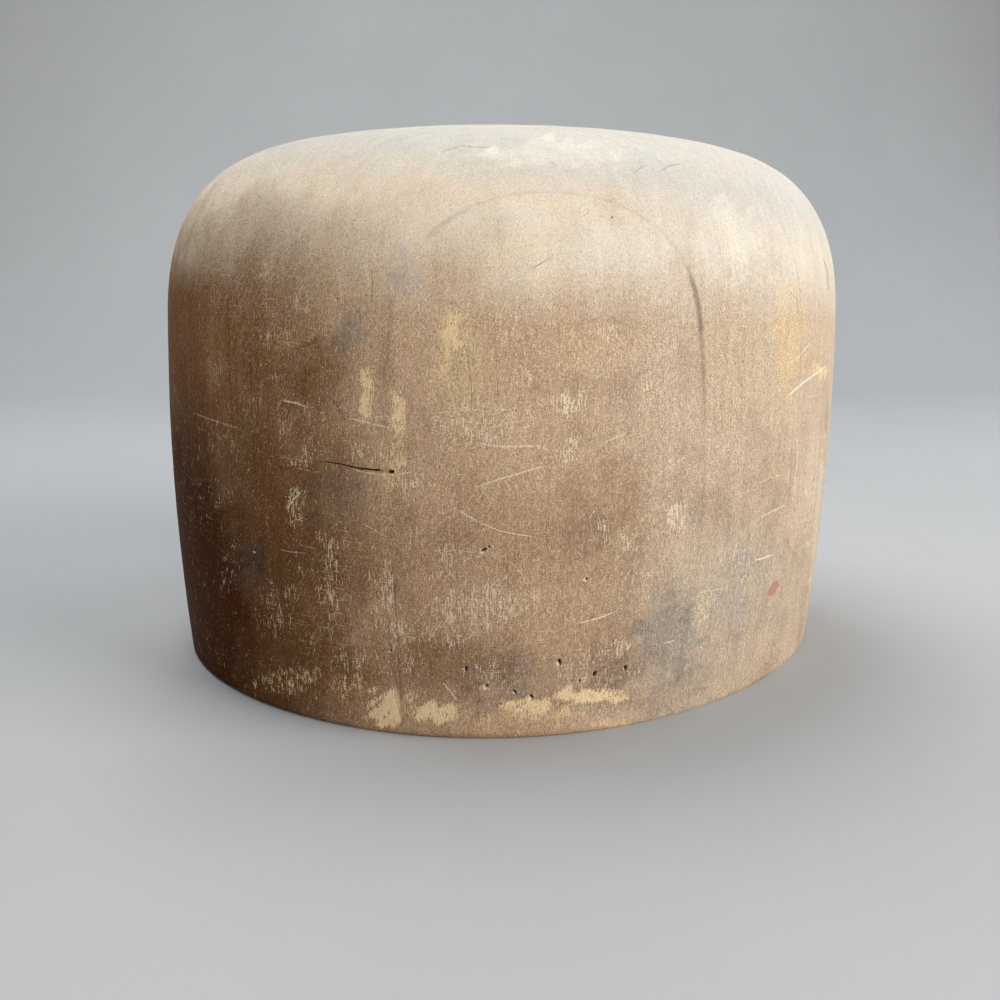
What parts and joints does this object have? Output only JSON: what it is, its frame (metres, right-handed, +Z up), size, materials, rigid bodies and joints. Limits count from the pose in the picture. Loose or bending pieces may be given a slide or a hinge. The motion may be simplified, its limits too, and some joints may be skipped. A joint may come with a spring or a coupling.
{
  "type": "hat block",
  "caption": "Solid wooden crown block for shaping hats: an oval block glued up from upright boards, with a rounded crown, flat base and spindle socket.",
  "frame": {"origin": "middle of the flat base", "axes": "+Z up to the crown, X along the block from the back of the head to the narrower forehead end at +X, Y across the boards"},
  "size_m": [0.2, 0.1744, 0.1451],
  "materials": {
    "board_wood": "worn brown patina, satin, paler on the crown",
    "cheek_wood": "worn brown patina, satin, scratched"
  },
  "bodies": {
    "root": {"board_1": "board_wood", "board_2": "board_wood", "board_3": "board_wood", "board_4": "board_wood", "board_5": "board_wood", "board_6": "board_wood", "board_7": "board_wood", "board_8": "board_wood", "left_cheek": "cheek_wood", "right_cheek": "cheek_wood"}
  },
  "joints": []
}
